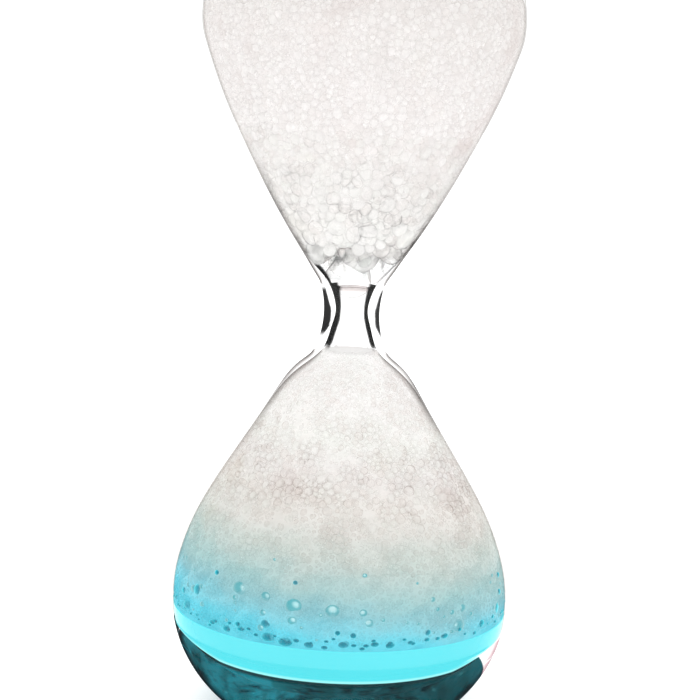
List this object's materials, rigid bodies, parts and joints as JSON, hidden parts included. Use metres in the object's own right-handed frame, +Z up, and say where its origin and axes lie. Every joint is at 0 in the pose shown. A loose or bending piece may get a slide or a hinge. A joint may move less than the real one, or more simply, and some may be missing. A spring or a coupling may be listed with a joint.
{
  "type": "bubble hourglass",
  "caption": "Frameless blown-glass liquid timer: two onion-shaped bulbs joined by a narrow neck, filled with blue soap solution and foam that rises through the neck.",
  "frame": {"origin": "centre of the lower foot's resting plane", "axes": "+Z up along the timer's axis through both bulbs; X and Y are any two horizontal directions, because the glass is a body of revolution"},
  "size_m": [0.066, 0.066, 0.1565],
  "materials": {
    "clear_glass": "fire-polished clear blown glass",
    "tinted_foot_glass": "heavy polished glass, dark teal with streaks",
    "blue_soap_solution": "clear turquoise liquid, bright at its rim",
    "raft_bubble_film": "wet film, dark teal outlines",
    "wet_blue_foam": "wet fine foam, pale cyan",
    "drained_foam": "fine drained foam, warm white",
    "soap_film": "thin clear soap film with grey edges",
    "fresh_foam": "open foam cells, translucent white"
  },
  "bodies": {
    "root": {"lower_bulb": "clear_glass", "upper_bulb": "clear_glass", "neck_tube": "clear_glass", "lower_foot": "tinted_foot_glass", "upper_foot": "clear_glass", "filling_stem": "clear_glass", "soap_solution": "blue_soap_solution", "bubble_raft": "raft_bubble_film", "wet_foam": "wet_blue_foam", "lower_foam": "drained_foam", "neck_film": "soap_film", "big_bubbles": "soap_film", "coarse_foam": "fresh_foam", "fine_foam": "fresh_foam"}
  },
  "joints": []
}
